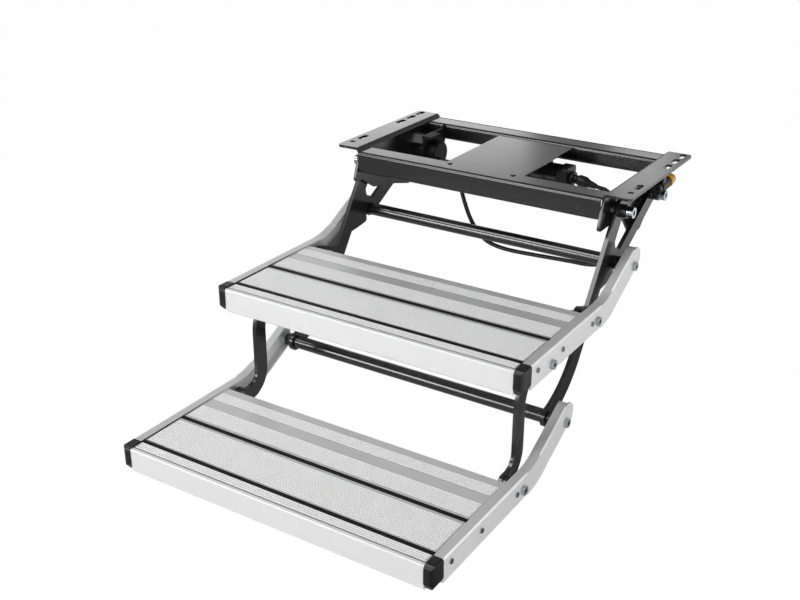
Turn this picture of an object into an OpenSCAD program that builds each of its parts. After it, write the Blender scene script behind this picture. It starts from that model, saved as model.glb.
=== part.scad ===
// Motor-driven double folding step for a caravan or motorhome doorway.
// The frame hangs from its two flanges, and two treads swing out below it on arms and links.
// Millimetres. X runs across the step, Y towards the vehicle and Z up. The origin lies midway
// between the two round front holes, in the plane of the flange tops. The step stands unfolded.

/* [Treads] */
// Length of a tread board between its rails
board_l = 563; // [540:1:600]
// Distance from the front grip strip to the nosing
board_front = 31; // [28:0.5:32]
// Distance from the front grip strip to the board's rear edge
board_back = 213; // [206:0.5:214]
// Height of the board's front face
nosing_h = 43; // [38:0.5:44]
// Thickness of the board's skin
skin_t = 3; // [2.5:0.1:3.6]
// Spacing of the fine ribs
rib_pitch = 5; // [4:0.25:7]
// Height of the fine ribs
rib_h = 0.8; // [0.5:0.1:1.2]
// Width of a grip strip
strip_w = 8; // [6:0.25:9]
// Distance between the two grip strips
strip_gap = 93.5; // [90:0.5:95]
// Height of the upper tread's surface below the flange tops
upper_drop = 165; // [160:1:170]
// Distance of the upper tread's front strip in front of the round holes
upper_reach = 372; // [366:1:378]
// Drop from the upper tread to the lower one
rise = 192; // [186:1:198]
// Distance from the upper tread forward to the lower one
run = 253; // [248:1:258]

/* [Side rails] */
// Height of a side rail
rail_h = 42; // [40:0.5:44]
// Width of a side rail
rail_w = 17; // [15:0.5:20]
// Thickness of a side rail's walls
rail_t = 3; // [2.5:0.1:3.5]
// Upward angle of a side rail's tail
tail_angle = 26.5; // [25:0.5:28]
// Radius of the bend before the tail
tail_bend = 120; // [90:5:140]
// Front pivot of a side rail, behind the front strip
rail_front_y = 65; // [64.5:0.5:67]
// Front pivot of a side rail, below the surface
rail_front_z = 25; // [23:0.5:26]
// Middle pivot of a side rail, behind the front strip
rail_mid_y = 238; // [237:0.5:240]
// Middle pivot of a side rail, below the surface
rail_mid_z = 20; // [18:0.5:22]
// Rear pivot of a side rail, behind the front strip
rail_rear_y = 389; // [387:0.5:391]
// Rear pivot of a side rail, above the surface
rail_rear_z = 27; // [26:0.5:28]

/* [Arms and links] */
// Thickness of the arms and links
arm_t = 8; // [6:0.5:10]
// Width of a long arm
long_arm_w = 32; // [28:0.5:32]
// Width of a rear arm
rear_arm_w = 28; // [26:0.5:28]
// Width of a front link
link_w = 28; // [25:0.5:28]
// Distance of a long arm's bar behind the upper tread's pivot
arm_set_back = 43; // [42:0.5:44]
// Distance from a long arm's upper pivot to its knee
arm_knee = 325; // [318:1:330]
// Radius of a long arm's knee
knee_r = 180; // [150:5:190]
// Distance of a front link's upright behind its lower pivot
link_set_back = 47; // [45:0.5:50]
// Radius at a front link's foot
link_r = 38; // [34:0.5:40]
// Diameter of the cross rods
rod_d = 24; // [20:0.5:25]
// Length of the pivot sleeves on the arms
sleeve_l = 14; // [12:0.5:16]
// Diameter of the pivot sleeves
sleeve_d = 24; // [22:0.5:25]

/* [Pivots] */
// Diameter of the pivot bolts
pivot_d = 12; // [10:0.5:13]
// Running clearance round a pivot bolt
pivot_fit = 0.05; // [0.02:0.01:0.1]
// Front pivot of the frame, behind the round holes
front_pivot_y = 17; // [15:0.5:19]
// Front pivot of the frame, below the flange tops
front_pivot_z = 41; // [39:0.5:43]
// Rear pivot of the frame, behind the round holes
rear_pivot_y = 174; // [172:0.5:178]
// Rear pivot of the frame, below the flange tops
rear_pivot_z = 54; // [52:0.5:56]
// Size across the corners of the pivot nuts
nut_d = 21; // [19:0.5:22]
// Height of the pivot nuts
nut_h = 8; // [6:0.5:9]

/* [Frame] */
// Thickness of the side brackets
steel_t = 5; // [4:0.5:6]
// Width of a mounting flange
flange_w = 52; // [48:1:60]
// Length of the frame, front to rear
frame_l = 301; // [298:1:310]
// Length of the frame in front of the round holes
frame_front = 32; // [30:0.5:34]
// Diameter of the round holes and width of the slots
hole_d = 11; // [9:0.5:12]
// Length of the slots
slot_l = 30; // [24:1:32]
// Distance of the holes from the flange's outer edge
hole_inset = 14; // [12:0.5:16]
// Thickness of the cross rails
sheet_t = 3; // [2.5:0.25:3.5]
// Depth of the cross rails, front to rear
cross_d = 40; // [36:1:42]
// Height of the front cross rail
front_h = 41; // [38:1:43]
// Height of the rear cross rail
rear_h = 32; // [30:1:34]
// Width of the cover plate
cover_w = 161; // [140:1:180]

/* [Drive] */
// Diameter of the gear case
gear_d = 56; // [50:1:60]
// Diameter of the drive shaft
shaft_d = 16; // [14:0.5:17]
// Diameter of the control unit
unit_d = 46; // [40:1:48]
// Diameter of the motor's lead
lead_d = 8; // [6:0.5:9]

/* [Hidden] */
$fn = 48;
bend_steps = 12;
side_gap = 0.3;
run_gap = 0.3;
open_gap = 0.8;
washer_gap = 4;
collar_l = 12;
head_h = 6;
screw_d = 5;
screw_fit = 0.1;
black_steel = [0.09, 0.09, 0.1];
plated = [0.78, 0.79, 0.8];
aluminium = [0.72, 0.73, 0.74];
rubber = [0.05, 0.05, 0.05];
yellow = [0.9, 0.75, 0.1];

// Stations across the step, from the middle outwards
board_half = board_l / 2;
rail_in = board_half + side_gap;
rail_out = rail_in + rail_w;
sleeve_out = rail_in - open_gap;
arm_out = sleeve_out - sleeve_l;
arm_in = arm_out - arm_t;
web_out = arm_in - washer_gap;
web_in = web_out - steel_t;
flange_out = web_in + flange_w;
hole_x = flange_out - hole_inset;
collar_out = arm_out + collar_l;

// Pivots in the side view, as [y, z]
upper_at = [-upper_reach, -upper_drop];
lower_at = upper_at - [run, rise];
rail_p1 = [rail_front_y, -rail_front_z];
rail_p2 = [rail_mid_y, -rail_mid_z];
rail_p3 = [rail_rear_y, rail_rear_z];
pivot_a = [front_pivot_y, -front_pivot_z];
pivot_b = [rear_pivot_y, -rear_pivot_z];
pivot_c = upper_at + rail_p2;
pivot_d_rear = upper_at + rail_p3;
pivot_f = upper_at + rail_p1;
pivot_g = lower_at + rail_p3;
pivot_h = lower_at + rail_p2;

// Side rail
rail_top = 2;
rail_start = -6;
rail_mid = rail_top - rail_h / 2;
tail_end = rail_p3 + [7, 11];
tail_corner = tail_end[0] - (tail_end[1] - rail_mid) / tan(tail_angle);
rail_points = [[rail_start, rail_mid], [tail_corner, rail_mid, tail_bend], tail_end];
rail_inner = [[rail_start - 2, rail_mid], [tail_corner, rail_mid, tail_bend],
  tail_end + rail_h * [cos(tail_angle), sin(tail_angle)]];

// Tread board
groove_w = strip_w + 0.3;
groove_deep = 2.4;
boss_half = strip_w / 2 + 4;
rear_lip = 22;
port_half = 5;
front_port = [14, -13];
rear_port = [strip_gap + 9.5, -15];
rail_screws = [front_port, rear_port, [217, -17]];
plain_from = 143;
plain_to = 168;
last_rib = 193;

// Frame
frame_back = frame_l - frame_front;
cross_top = -6;
slots = [36, frame_back - 94, frame_back - 55, frame_back - 18];
cover_top = cross_top - sheet_t;
cover_t = 2;
cover_lip = 18;
cover_screw_x = cover_w / 2 - 15;
front_inner = cross_d - frame_front - 6;
rear_inner = frame_back - 6 - cross_d;
corner_r = 8;

// Drive
mount_x = 36 - web_in;
gear_x = mount_x + steel_t;
motor_x = gear_x + 9;
motor_l = 10;
ledge_w = 22;
unit_end = 80;
cap_l = 28;
boot_l = 46;
boot_tilt = 10;
bush_d = 28;
gland_at = pivot_b + [-10, -10];
gland_l = 14;
plug_z = -steel_t - 22;
boot_at = [unit_end + cap_l, pivot_b[0], pivot_b[1]];
boot_dir = [cos(boot_tilt), 0, -sin(boot_tilt)];
lead_end = motor_x + motor_l + gland_l;
lead_points = [boot_at + boot_dir * (boot_l + run_gap), boot_at + boot_dir * (boot_l + 10),
  boot_at + boot_dir * (boot_l + 20),
  [195, 154, -68], [216, 124, -71], [230, 94, -75], [238, 70, -86], [241, 57, -106], [240, 50, -128],
  [234, 46, -148], [221, 43, -161], [198, 43, -166], [168, 43, -167], [125, 43, -169], [82, 43, -171],
  [46, 43, -172], [16, 43, -170], [-7, 43, -164], [-24, 43, -152], [-39, 43, -135], [-49, 43, -118],
  [-57, 43, -99], [-65, 45, -81], [-76, 58, -69], [-92, 86, -65], [-112, 122, gland_at[1]],
  [-134, 150, gland_at[1]], [lead_end + 20, gland_at[0], gland_at[1]],
  [lead_end + 10, gland_at[0], gland_at[1]], [lead_end + run_gap, gland_at[0], gland_at[1]]];

// Vectors and bent centre lines

function unit(v) = v / norm(v);

function left(v) = [-v[1], v[0]];

function spin(v, a) = [v[0] * cos(a) - v[1] * sin(a), v[0] * sin(a) + v[1] * cos(a)];

function turn(a, b) = atan2(a[0] * b[1] - a[1] * b[0], a[0] * b[0] + a[1] * b[1]);

function flat(p) = [p[0], p[1]];

// Points of the arc that rounds corner q between p and s
function arc(p, q, s, r) =
  let (a = unit(q - p), w = turn(q - p, s - q), k = sign(w), tangent = r * tan(abs(w) / 2))
  [for (i = [0:bend_steps])
    q - a * tangent + k * r * left(a) + spin(-k * r * left(a), w * i / bend_steps)];

// Line through the points, with each inner point rounded to the radius it carries
function route(points) =
  let (last = len(points) - 1)
  [for (i = [0:last])
    each (i == 0 || i == last || len(points[i]) < 3) ? [flat(points[i])]
      : arc(flat(points[i - 1]), flat(points[i]), flat(points[i + 1]), points[i][2])];

function edge(path, h) =
  [for (i = [0:len(path) - 1])
    path[i] + h * left(unit(path[min(i + 1, len(path) - 1)] - path[max(i - 1, 0)]))];

function reverse(list) = [for (i = [len(list) - 1:-1:0]) list[i]];

// Outline of a strip of even width along a line
function ribbon(path, h) = concat(edge(path, h), reverse(edge(path, -h)));

// The same with a round far end
function round_ribbon(path, h) =
  let (last = len(path) - 1, d = unit(path[last] - path[last - 1]), n = 2 * bend_steps)
  concat(edge(path, h), [for (i = [1:n - 1]) path[last] + h * spin(left(d), -180 * i / n)],
    reverse(edge(path, -h)));

// Building blocks

module both_sides() {
  children();
  mirror([1, 0, 0]) children();
}

// A side-view outline given a thickness across the step
module across(x0, t) {
  translate([x0, 0, 0]) rotate([90, 0, 90]) linear_extrude(t) children();
}

module pin(p, x0, x1, d) {
  translate([x0, p[0], p[1]]) rotate([0, 90, 0]) cylinder(h = x1 - x0, d = d);
}

module hex_pin(p, x0, x1, d) {
  translate([x0, p[0], p[1]]) rotate([0, 90, 0]) cylinder(h = x1 - x0, d = d, $fn = 6);
}

module disc(p, r) {
  translate(p) circle(r);
}

module slot(x, y) {
  for (s = [-1, 1])
    translate([x, y + s * (slot_l - hole_d) / 2, -steel_t - 1]) cylinder(h = steel_t + 2, d = hole_d);
  translate([x - hole_d / 2, y - (slot_l - hole_d) / 2, -steel_t - 1])
    cube([hole_d, slot_l - hole_d, steel_t + 2]);
}

// Frame

// The bracket's web: a tab at the front pivot and a lobe at the rear one, joined by a skirt on the drive's side
module bracket_web(skirt) {
  tab = pivot_a[1] - 24;
  lobe = pivot_b[1] - 51;
  heel = pivot_b[1] - 3;
  step = skirt ? [[pivot_a[0] - 40, tab, 4], [pivot_a[0], tab - 26, 10]] : [[pivot_a[0] + 38, tab, 10]];
  polygon(route(concat([[-frame_front, -15], [-frame_front - 18, tab, corner_r]], step,
    [[pivot_b[0] - 81, lobe, 10], [pivot_b[0] - 26, lobe - 15, 14], [pivot_b[0] + 48, heel, 10],
      [frame_back, heel], [frame_back, -15]])));
}

module flange_plan() {
  difference() {
    translate([web_in, -frame_front]) square([flange_w, frame_l]);
    for (y = [-frame_front, frame_back])
      let (s = y < 0 ? 1 : -1)
        difference() {
          translate([flange_out - corner_r, s > 0 ? y : y - corner_r]) square(corner_r);
          translate([flange_out - corner_r, y + s * corner_r]) circle(corner_r);
        }
  }
}

module side_bracket(rear_hole, skirt) {
  bend = route([[flange_out + 1, -steel_t / 2], [web_in + steel_t / 2, -steel_t / 2, steel_t * 1.2],
    [web_in + steel_t / 2, -20]]);
  difference() {
    union() {
      intersection() {
        translate([0, frame_back, 0]) rotate([90, 0, 0]) linear_extrude(frame_l)
          polygon(ribbon(bend, steel_t / 2));
        translate([0, 0, -30]) linear_extrude(40) flange_plan();
      }
      across(web_in, steel_t) bracket_web(skirt);
    }
    translate([hole_x, 0, -steel_t - 1]) cylinder(h = steel_t + 2, d = hole_d);
    for (y = slots) slot(hole_x, y);
    pin(pivot_a, web_in - 1, web_out + 1, pivot_d + 0.2);
    pin(pivot_b, web_in - 1, web_out + 1, rear_hole);
  }
}

module side_bracket_left() {
  color(black_steel) mirror([1, 0, 0]) side_bracket(bush_d, true);
}

module side_bracket_right() {
  color(black_steel) side_bracket(pivot_d + 0.2, false);
}

// A channel bent from sheet, with its face at face_y and its open side at open_y
module cross_rail(open_y, face_y, h) {
  s = sign(face_y - open_y) * sheet_t / 2;
  path = route([[open_y, cross_top - sheet_t / 2], [face_y - s, cross_top - sheet_t / 2, sheet_t * 1.6],
    [face_y - s, cross_top - h + sheet_t / 2, sheet_t * 1.6], [open_y, cross_top - h + sheet_t / 2]]);
  across(-web_in, 2 * web_in) polygon(ribbon(path, sheet_t / 2));
}

// Screws of the cover plate: down through the front rail's top, and back through the rear rail's face
module cover_front(z0, h, d) {
  for (x = [-1, 1]) translate([x * cover_screw_x, front_inner - 6, z0]) cylinder(h = h, d = d);
}

module cover_rear(y0, h, d) {
  for (x = [-1, 1])
    translate([x * cover_screw_x, y0, cover_top - cover_lip / 2]) rotate([-90, 0, 0]) cylinder(h = h, d = d);
}

module front_cross_rail() {
  face = front_inner - cross_d;
  color(black_steel) difference() {
    cross_rail(front_inner, face, front_h);
    for (x = [-1, 1])
      translate([x * (web_in - 42), face - 1, cross_top - front_h * 0.6]) rotate([-90, 0, 0])
        cylinder(h = sheet_t + 2, d = screw_d - 1);
    cover_front(cross_top - sheet_t - 1, sheet_t + 2, screw_d + 2 * screw_fit);
  }
}

module rear_cross_rail() {
  color(black_steel) difference() {
    cross_rail(rear_inner + cross_d, rear_inner, rear_h);
    cover_rear(rear_inner - 1, sheet_t + 2, screw_d + 2 * screw_fit);
  }
}

// Plate with a lip folded down against the rear rail's face
module cover_plate() {
  half = cover_t / 2;
  path = route([[front_inner - 12, cover_top - half], [rear_inner - half, cover_top - half, cover_t * 1.5],
    [rear_inner - half, cover_top - cover_lip]]);
  color(black_steel) difference() {
    across(-cover_w / 2, cover_w) polygon(ribbon(path, half));
    cover_front(cover_top - cover_t - 1, cover_t + 2, screw_d + 2 * screw_fit);
    cover_rear(rear_inner - cover_t - 1, cover_t + 2, screw_d + 2 * screw_fit);
  }
}

module cover_screws() {
  color(black_steel) {
    cover_front(cross_top, 1.6, 9);
    cover_front(cover_top - cover_t - 3, sheet_t + cover_t + 4, screw_d);
    cover_rear(rear_inner - cover_t - 1.6, 1.6, 9);
    cover_rear(rear_inner - cover_t - 1, sheet_t + cover_t + 4, screw_d);
  }
}

// Drive

function ring_of(n, r) =
  [for (i = [0:n - 1]) pivot_b + r * [cos(360 * (i + 0.5) / n), sin(360 * (i + 0.5) / n)]];

module gear_bolt_holes(x0, x1) {
  for (p = ring_of(6, gear_d * 0.38)) pin(p, x0, x1, screw_d + 2 * screw_fit);
}

// Plate on the rear cross rail, with a ledge over the gear case
module gear_mount() {
  ledge = cross_top - 6;
  reach = gear_d / 2 + 6;
  color(black_steel) difference() {
    union() {
      across(mount_x, steel_t) polygon(route([[rear_inner, cross_top], [rear_inner, cross_top - rear_h],
        [pivot_b[0] + reach * 0.6, pivot_b[1] - reach, 10], [pivot_b[0] - reach, pivot_b[1] - reach, 10],
        [pivot_b[0] - reach, ledge], [rear_inner - 12, ledge, 4]]));
      translate([mount_x - 2, pivot_b[0] - reach, ledge - steel_t]) cube([ledge_w, reach + 4, steel_t]);
    }
    pin(pivot_b, mount_x - 1, mount_x + steel_t + 1, shaft_d + 6);
    gear_bolt_holes(mount_x - 1, mount_x + steel_t + 1);
  }
}

module gear_case() {
  color(black_steel) difference() {
    union() {
      pin(pivot_b, gear_x, gear_x + 5, gear_d);
      pin(pivot_b, gear_x, motor_x, gear_d - 6);
    }
    pin(pivot_b, gear_x - 1, motor_x - 2, shaft_d + 2 * pivot_fit);
    gear_bolt_holes(gear_x - 1, motor_x - 1);
  }
}

module gear_bolts() {
  color(plated) for (p = ring_of(6, gear_d * 0.38)) {
    hex_pin(p, mount_x - 3.5, mount_x, screw_d * 1.8);
    pin(p, mount_x - 1, motor_x - 2, screw_d);
  }
}

module drive_motor() {
  color(black_steel) {
    pin(pivot_b, motor_x, motor_x + motor_l - 3, gear_d - 2);
    pin(pivot_b, motor_x, motor_x + motor_l, gear_d - 6);
  }
}

// Tube round the drive shaft, from the bracket to the gear's plate
module shaft_bush() {
  color(black_steel) difference() {
    pin(pivot_b, -web_out, mount_x, bush_d - 0.04);
    pin(pivot_b, -web_out - 1, mount_x + 1, shaft_d + 2 * pivot_fit);
  }
}

// Control unit under the cover plate
module control_unit() {
  color(black_steel) pin(pivot_b, -60, unit_end, unit_d);
}

// Moulded connector block on the unit's end, with its two screws and a neck for the boot
module control_end_cap() {
  h = unit_d / 2 - 1;
  color(rubber) {
    across(unit_end, cap_l - 8) translate(pivot_b)
      polygon(route([[0, h], [h, h, 7], [h, -h, 7], [-h, -h, 7], [-h, h, 7], [0, h]]));
    pin(pivot_b, unit_end, unit_end + cap_l, unit_d - 20);
    for (s = [-1, 1]) pin(pivot_b + s * [-15, 15], unit_end, unit_end + cap_l - 6.5, screw_d + 2);
  }
}

// Band round the control unit with a block up to the cover plate
module unit_saddle() {
  color(black_steel) across(30, 24) difference() {
    union() {
      disc(pivot_b, unit_d / 2 + 3);
      translate([pivot_b[0] - 16, pivot_b[1]]) square([32, cover_top - cover_t - pivot_b[1]]);
    }
    disc(pivot_b, unit_d / 2 + 0.1);
  }
}

module lead_gland() {
  color(rubber) translate([motor_x + motor_l, gland_at[0], gland_at[1]]) rotate([0, 90, 0]) {
    cylinder(h = 4, d = lead_d + 5, $fn = 6);
    cylinder(h = gland_l, d1 = lead_d + 3, d2 = lead_d + 1);
  }
}

// Moulded boot, bulged in the middle
module lead_boot() {
  color(rubber) difference() {
    translate(boot_at) rotate([0, 90 + boot_tilt, 0]) {
      translate([0, 0, -3]) cylinder(h = 8, d = lead_d + 8);
      translate([0, 0, 5]) cylinder(h = 6, d1 = lead_d + 8, d2 = lead_d + 14);
      translate([0, 0, 11]) cylinder(h = 12, d = lead_d + 14);
      translate([0, 0, 23]) cylinder(h = 8, d1 = lead_d + 14, d2 = lead_d + 7);
      translate([0, 0, 31]) cylinder(h = boot_l - 31, d1 = lead_d + 7, d2 = lead_d + 2);
    }
    translate(boot_at - [unit_d, unit_d / 2, unit_d / 2]) cube(unit_d);
  }
}

// Point a share t of the way between the inner two of four points on a smooth curve
function smooth(p, q, r, s, t) = 0.5 * (2 * q + (r - p) * t + (2 * p - 5 * q + 4 * r - s) * t * t
  + (3 * q - p - 3 * r + s) * t * t * t);

function lead_curve(points, steps) =
  let (last = len(points) - 1)
  concat([for (i = [0:last - 1], k = [0:steps - 1])
    smooth(points[max(i - 1, 0)], points[i], points[i + 1], points[min(i + 2, last)], k / steps)],
    [points[last]]);

module motor_lead() {
  sides = 10;
  line = lead_curve(lead_points, 2);
  last = len(line) - 1;
  rings = [for (i = [0:last])
    let (t = unit(line[min(i + 1, last)] - line[max(i - 1, 0)]), u = unit(cross(t, [1, 1, 0])), v = cross(t, u))
    each [for (k = [0:sides - 1])
      line[i] + lead_d / 2 * (u * cos(360 * k / sides) + v * sin(360 * k / sides))]];
  walls = [for (i = [0:last - 1], k = [0:sides - 1])
    [i * sides + k, (i + 1) * sides + k, (i + 1) * sides + (k + 1) % sides, i * sides + (k + 1) % sides]];
  color(rubber) polyhedron(rings, concat(walls, [[for (k = [0:sides - 1]) k]],
    [[for (k = [sides - 1:-1:0]) last * sides + k]]), convexity = 8);
}

// Plug of the vehicle's supply lead, hung by its clip under the right flange
module supply_plug() {
  color(rubber) {
    translate([hole_x + 2, 116, plug_z]) rotate([-90, 0, 0]) {
      cylinder(h = 56, d = 20);
      translate([0, 0, 14]) cylinder(h = 30, d = 23);
    }
    translate([hole_x - 6, 132, plug_z]) cube([16, 14, -steel_t - plug_z]);
  }
}

module supply_plug_cap() {
  color(yellow) translate([hole_x + 2, 172, plug_z]) rotate([-90, 0, 0]) {
    cylinder(h = 6, d = 23);
    cylinder(h = 22, d = 19);
    translate([0, 0, 22]) sphere(d = 18);
  }
}

// Pivots of the frame

// Round head with a hexagon socket, on the outer side
module socket_head(p, x0, h, d) {
  difference() {
    pin(p, x0, x0 + h, d);
    hex_pin(p, x0 + h / 2, x0 + h + 1, d / 2);
  }
}

module pivot_bolt(p) {
  outer = collar_out + run_gap;
  pin(p, web_in - nut_h, outer + 1, pivot_d);
  hex_pin(p, web_in - nut_h, web_in, nut_d);
  socket_head(p, outer, nut_h + 4, nut_d - 1);
}

module front_pivot_bolts() {
  color(plated) both_sides() pivot_bolt(pivot_a);
}

module rear_pivot_bolt() {
  color(plated) pivot_bolt(pivot_b);
}

module arm_washer(p, bore) {
  difference() {
    pin(p, web_out, arm_in - run_gap, sleeve_d + 3);
    pin(p, web_out - 1, arm_in + 1, bore);
  }
}

module arm_washers() {
  color(plated) {
    both_sides() arm_washer(pivot_a, pivot_d + 0.4);
    arm_washer(pivot_b, pivot_d + 0.4);
    mirror([1, 0, 0]) arm_washer(pivot_b, shaft_d + 0.6);
  }
}

// Rear arms, which the motor turns

module sleeve(p, end) {
  pin(p, arm_out - 1, end, sleeve_d);
}

module pivot_bore(p, end, d) {
  pin(p, arm_in - 1, end + 1, d);
}

module rear_arm(bore) {
  difference() {
    union() {
      across(arm_in, arm_t) {
        polygon(ribbon([pivot_b, pivot_d_rear], rear_arm_w / 2));
        disc(pivot_b, rear_arm_w / 2);
        disc(pivot_d_rear, rear_arm_w / 2);
      }
      sleeve(pivot_b, collar_out);
      sleeve(pivot_d_rear, sleeve_out);
    }
    pivot_bore(pivot_b, collar_out, bore);
  }
}

module rear_arm_left() {
  color(black_steel) mirror([1, 0, 0]) rear_arm(shaft_d);
}

module rear_arm_right() {
  color(black_steel) rear_arm(pivot_d + 2 * pivot_fit);
}

// From the gear case through the left bracket into the left rear arm, with a nut on its end
module drive_shaft() {
  color(plated) {
    pin(pivot_b, -collar_out - nut_h, motor_x - 6, shaft_d);
    pin(pivot_b, -collar_out - nut_h, -collar_out, nut_d + 2);
  }
}

module upper_cross_rod() {
  color(black_steel) pin(pivot_d_rear, -arm_in, arm_in, rod_d);
}

// Long arms, which carry both treads

// Direction of the long arm's bar, set so that it passes behind the upper tread's pivot
arm_dir = spin(unit(pivot_c - pivot_a), asin(arm_set_back / norm(pivot_c - pivot_a)));
foot_c = pivot_a + arm_dir * ((pivot_c - pivot_a) * arm_dir);
foot_d = pivot_a + arm_dir * ((pivot_d_rear - pivot_a) * arm_dir);
arm_path = route([pivot_a, concat(pivot_a + arm_dir * arm_knee, [knee_r]), pivot_g]);

// Lug that reaches forward to the upper tread's pivot
module tread_lug() {
  lug_r = sleeve_d / 2 + 5;
  disc(pivot_c, lug_r);
  polygon([pivot_c - arm_dir * lug_r, pivot_c + arm_dir * lug_r, foot_c + arm_dir * (lug_r + 12),
    foot_c - arm_dir * (lug_r + 12)]);
}

// Hook that seats on the rear arm's end when the step is out
module stop_hook() {
  seat = rear_arm_w / 2 + 0.6;
  difference() {
    polygon(route([foot_d - arm_dir * 46, concat(pivot_d_rear + [-14, seat + 16], [14]),
      concat(pivot_d_rear + [6, seat + 10], [3]), pivot_d_rear + [8, 4], pivot_d_rear,
      pivot_d_rear - [seat, 0], concat(pivot_d_rear - [seat, 22], [5]), concat(pivot_d_rear - [42, 26], [20]),
      foot_d + arm_dir * 74]));
    disc(pivot_d_rear, seat);
    polygon(ribbon([pivot_d_rear, pivot_b], seat));
  }
}

module long_arm() {
  bore = pivot_d + 2 * pivot_fit;
  difference() {
    union() {
      across(arm_in, arm_t) {
        polygon(ribbon(arm_path, long_arm_w / 2));
        disc(pivot_a, long_arm_w / 2 + 2);
        disc(pivot_g, long_arm_w / 2 + 1);
        tread_lug();
        stop_hook();
      }
      sleeve(pivot_a, collar_out);
      sleeve(pivot_c, sleeve_out);
      sleeve(pivot_g, sleeve_out);
    }
    pivot_bore(pivot_a, collar_out, bore);
    pivot_bore(pivot_c, sleeve_out, bore);
    pivot_bore(pivot_g, sleeve_out, bore);
  }
}

module long_arm_left() {
  color(black_steel) mirror([1, 0, 0]) long_arm();
}

module long_arm_right() {
  color(black_steel) long_arm();
}

rod_bore_l = 24;

module lower_cross_rod() {
  color(black_steel) difference() {
    pin(pivot_g, -arm_in, arm_in, rod_d);
    both_sides() pin(pivot_g, arm_in - rod_bore_l, arm_in + 1, pivot_d + 2 * pivot_fit);
  }
}

// Treads

function fine_ribs(y0, y1) =
  [for (i = [0:floor((y1 - y0) / rib_pitch) - 1])
    let (y = y0 + i * rib_pitch)
    each [[y, 0], [y + 0.2 * rib_pitch, rib_h], [y + 0.6 * rib_pitch, rib_h], [y + 0.8 * rib_pitch, 0]]];

function strip_groove(y) = [[y - groove_w / 2, 0], [y - groove_w / 2, -groove_deep],
  [y + groove_w / 2, -groove_deep], [y + groove_w / 2, 0]];

// Ridge on the board's underside, from its rear edge y1 to its front edge y0
function ridge(y0, y1, depth) = [[y1, -skin_t], [y1, -depth], [y0, -depth], [y0, -skin_t]];

// Thick skin under a grip strip, with a screw port behind it
function strip_boss(y, port) = [[port[0] + port_half, -skin_t], [port[0] + port_half, port[1] - port_half],
  [port[0] - port_half, port[1] - port_half], [port[0] - port_half, -skin_t - groove_deep],
  [y - boss_half, -skin_t - groove_deep], [y - boss_half, -skin_t]];

function board_outline() = concat(
  route([[-board_front, -nosing_h + 3], [-board_front, 0, 3], [6.5 - board_front, 0]]),
  [[7 - board_front, 0], [7.8 - board_front, -1], [8.8 - board_front, -1], [9.6 - board_front, 0]],
  fine_ribs(11 - board_front, -boss_half), strip_groove(0), fine_ribs(boss_half, strip_gap - boss_half),
  strip_groove(strip_gap), fine_ribs(strip_gap + boss_half, plain_from), fine_ribs(plain_to, last_rib),
  [[board_back, 0], [board_back, -rear_lip], [board_back - skin_t, -rear_lip],
    [board_back - skin_t, -skin_t]],
  ridge(150, 150 + skin_t, skin_t + 9),
  strip_boss(strip_gap, rear_port),
  ridge(36, 36 + skin_t, skin_t + 9),
  strip_boss(0, front_port),
  [[-board_front + skin_t, -skin_t], [-board_front + skin_t, -nosing_h + skin_t],
    [-board_front + 14, -nosing_h + skin_t], [-board_front + 14, -nosing_h],
    [-board_front + 3, -nosing_h]]);

module tread_board() {
  across(-board_half, board_l) difference() {
    polygon(board_outline());
    disc(front_port, screw_d / 2 + screw_fit);
    disc(rear_port, screw_d / 2 + screw_fit);
  }
}

module grip_strips() {
  for (y = [0, strip_gap])
    across(-board_half, board_l) translate([y, 0])
      polygon([[-strip_w / 2, -groove_deep], [strip_w / 2, -groove_deep], [strip_w / 2, 0.8],
        [strip_w / 2 - 1, rib_h + 0.8], [1 - strip_w / 2, rib_h + 0.8], [-strip_w / 2, 0.8]]);
}

module tread_rail(pivots) {
  difference() {
    across(rail_in, rail_w) polygon(round_ribbon(route(rail_points), rail_h / 2));
    across(rail_in - 1, rail_w - rail_t + 1) polygon(ribbon(route(rail_inner), rail_h / 2 - rail_t));
    for (p = pivots) pin(p, rail_in - 1, rail_out + 1, pivot_d + 0.2);
    for (p = rail_screws) pin(p, rail_in - 1, rail_out + 1, screw_d + 2 * screw_fit);
  }
}

// Moulded cap on the front end of a rail, with a plug inside the channel
module end_cap() {
  front = -board_front - 2;
  outer = rail_out + 0.5;
  top = rail_top + 1;
  low = rail_top - rail_h - 3;
  intersection() {
    across(rail_in, outer - rail_in) polygon(route([[rail_start, top], [front, top, 10], [front, low + 13, 8],
      [front + 9, low, 4], [rail_start, low]]));
    translate([0, 0, low - 1]) linear_extrude(top - low + 2) polygon(route([[rail_in, rail_start],
      [rail_in, front], [outer, front, 10], [outer, rail_start]]));
    translate([0, rail_start, 0]) rotate([90, 0, 0]) linear_extrude(rail_start - front)
      polygon(route([[rail_in, low], [outer - 8, low, 4], [outer, low + 13, 8], [outer, top, 4], [rail_in, top]]));
  }
  across(rail_in + 0.5, rail_w - rail_t - 1)
    translate([rail_start - 1, rail_mid - rail_h / 2 + rail_t + 0.3])
      square([7, rail_h - 2 * rail_t - 0.6]);
}

// Pan head with a cross recess
module screw_head(p) {
  difference() {
    pin(p, rail_out, rail_out + 2.5, 9);
    for (size = [[1.2, 5.5], [5.5, 1.2]])
      translate([rail_out + 1.2, p[0] - size[0] / 2, p[1] - size[1] / 2]) cube([2, size[0], size[1]]);
  }
}

// Screws through both rails into the board's ports, and one short screw behind the board
module tread_screws() {
  both_sides() for (i = [0:2]) {
    inner = i < 2 ? board_half - 20 : rail_out - 10;
    pin(rail_screws[i], inner, rail_out + 1, screw_d);
    screw_head(rail_screws[i]);
  }
}

module bolt_head(p) {
  socket_head(p, rail_out, head_h, nut_d - 5);
}

module rail_spacer(p, gap) {
  pin(p, sleeve_out + gap, rail_out - rail_t, sleeve_d - 4);
}

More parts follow.
